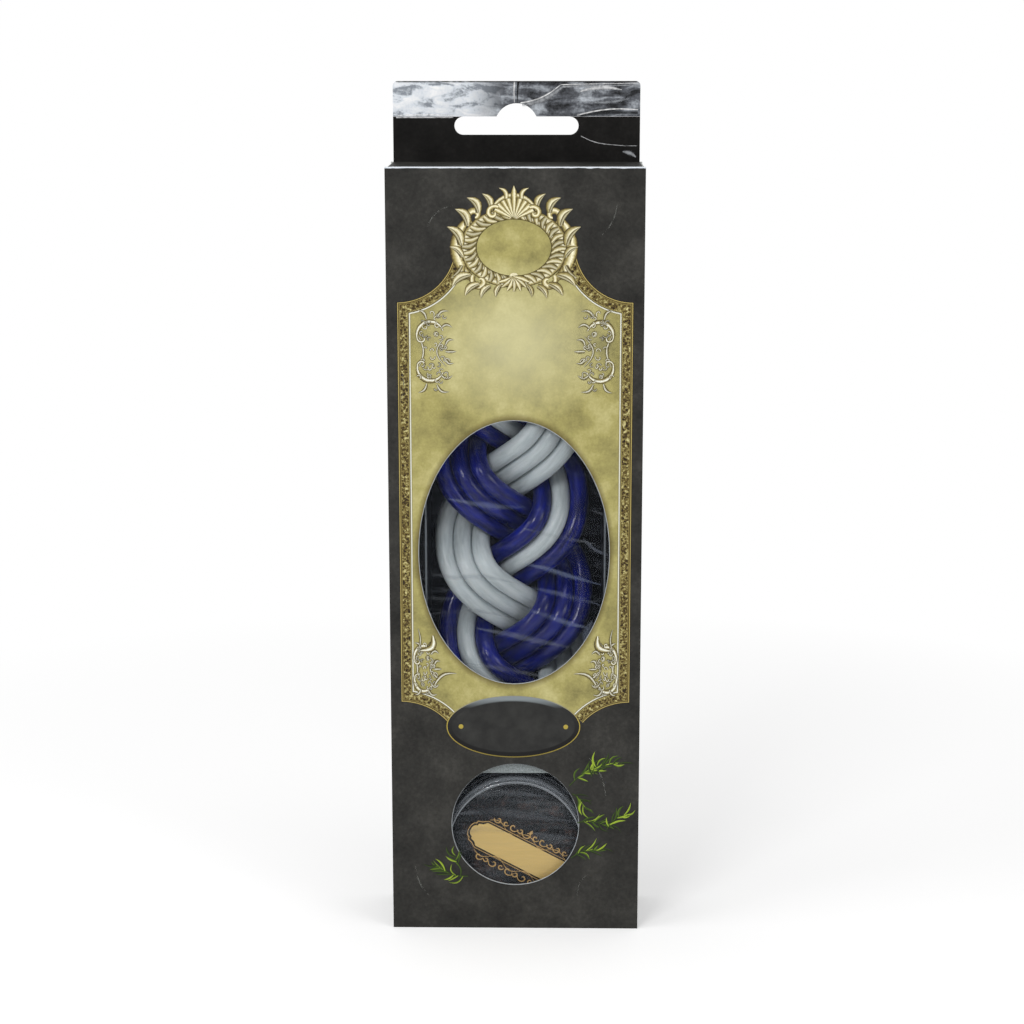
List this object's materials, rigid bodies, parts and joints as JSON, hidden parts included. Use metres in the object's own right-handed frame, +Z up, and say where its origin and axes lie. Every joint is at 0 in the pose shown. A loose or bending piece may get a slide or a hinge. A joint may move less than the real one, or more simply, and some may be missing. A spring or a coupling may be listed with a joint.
{
  "type": "boxed havdalah candle",
  "caption": "Blue and white plaited havdalah candle behind an oval window in a slim black carton with a hang tab, with a round clear tub of cloves behind a round window below it.",
  "frame": {"origin": "middle of the carton's base", "axes": "+Z up along the candle, -Y the way the windows face, +X to the viewer's right"},
  "size_m": [0.065, 0.024, 0.2215],
  "materials": {
    "carton_board": "glossy coated print",
    "tray_card": "satin",
    "lip_card": "matte",
    "clear_film": "gloss",
    "white_wax": "waxy satin",
    "blue_wax": "waxy satin",
    "cotton": "matte",
    "clear_plastic": "gloss",
    "label_paper": "satin",
    "spice": "matte"
  },
  "bodies": {
    "carton": {"front_panel": "carton_board", "back_panel": "carton_board", "left_side_panel": "carton_board", "right_side_panel": "carton_board", "glue_flap": "carton_board", "tab_rear_ply": "carton_board", "tab_front_ply": "carton_board", "window_film": "clear_film", "bottom_left_dust_flap": "carton_board", "bottom_right_dust_flap": "carton_board", "tray_back": "tray_card", "tray_left_wall": "tray_card", "tray_right_wall": "tray_card", "tray_left_flange": "tray_card", "tray_right_flange": "tray_card", "tray_foot": "tray_card", "candle_shelf": "tray_card", "shelf_lip": "lip_card"},
    "hang_tab_top": {"tab_bent_rear_ply": "carton_board", "tab_bent_front_ply": "carton_board"},
    "top_lid": {"top_lid": "carton_board"},
    "top_tuck": {"top_tuck_flap": "carton_board"},
    "bottom_lid": {"bottom_lid": "carton_board"},
    "bottom_tuck": {"bottom_tuck_flap": "carton_board"},
    "top_left_flap": {"top_left_dust_flap": "carton_board"},
    "top_right_flap": {"top_right_dust_flap": "carton_board"},
    "candle": {"blue_taper_left": "blue_wax", "blue_taper_middle": "blue_wax", "blue_taper_right": "blue_wax", "mixed_taper_left": "blue_wax", "mixed_taper_middle": "white_wax", "mixed_taper_right": "blue_wax", "white_taper_left": "white_wax", "white_taper_middle": "white_wax", "white_taper_right": "white_wax", "wicks": "cotton"},
    "tub": {"tub_base": "clear_plastic", "cloves": "spice"},
    "tub_cover": {"tub_lid": "clear_plastic", "tub_label": "label_paper"}
  },
  "joints": [
    {"name": "top_lid_hinge", "type": "hinge", "parent": "carton", "child": "top_lid", "pos_m": [0, 0.0111, 0.201], "axis": [-1, 0, 0], "range_deg": [0, 85]},
    {"name": "top_tuck_hinge", "type": "hinge", "parent": "top_lid", "child": "top_tuck", "pos_m": [0, -0.0106, 0.20055], "axis": [1, 0, 0], "range_deg": [0, 42.5]},
    {"name": "bottom_lid_hinge", "type": "hinge", "parent": "carton", "child": "bottom_lid", "pos_m": [0, 0.012, 0], "axis": [1, 0, 0], "range_deg": [0, 85]},
    {"name": "bottom_tuck_hinge", "type": "hinge", "parent": "bottom_lid", "child": "bottom_tuck", "pos_m": [0, -0.0106, 0.00045], "axis": [-1, 0, 0], "range_deg": [0, 42.5]},
    {"name": "hang_tab_bend", "type": "hinge", "parent": "carton", "child": "hang_tab_top", "pos_m": [0, 0.012, 0.2125], "axis": [-1, 0, 0], "range_deg": [0, 90]},
    {"name": "top_left_flap_hinge", "type": "hinge", "parent": "carton", "child": "top_left_flap", "pos_m": [-0.03205, 0, 0.19995], "axis": [0, 1, 0], "range_deg": [0, 38]},
    {"name": "top_right_flap_hinge", "type": "hinge", "parent": "carton", "child": "top_right_flap", "pos_m": [0.03205, 0, 0.19995], "axis": [0, -1, 0], "range_deg": [0, 38]},
    {"name": "candle_lift", "type": "slide", "parent": "carton", "child": "candle", "axis": [0, 0, 1], "range_m": [0, 0.009]},
    {"name": "tub_spin", "type": "hinge", "parent": "carton", "child": "tub", "pos_m": [0, 0, 0.02205], "axis": [0, 1, 0], "continuous": true},
    {"name": "tub_lid_turn", "type": "hinge", "parent": "tub", "child": "tub_cover", "pos_m": [0, 0, 0.02205], "axis": [0, 1, 0], "continuous": true}
  ],
  "couplings": [
    {"joint": "top_tuck_hinge", "follows": "top_lid_hinge", "ratio": 0.5},
    {"joint": "bottom_tuck_hinge", "follows": "bottom_lid_hinge", "ratio": 0.5}
  ]
}
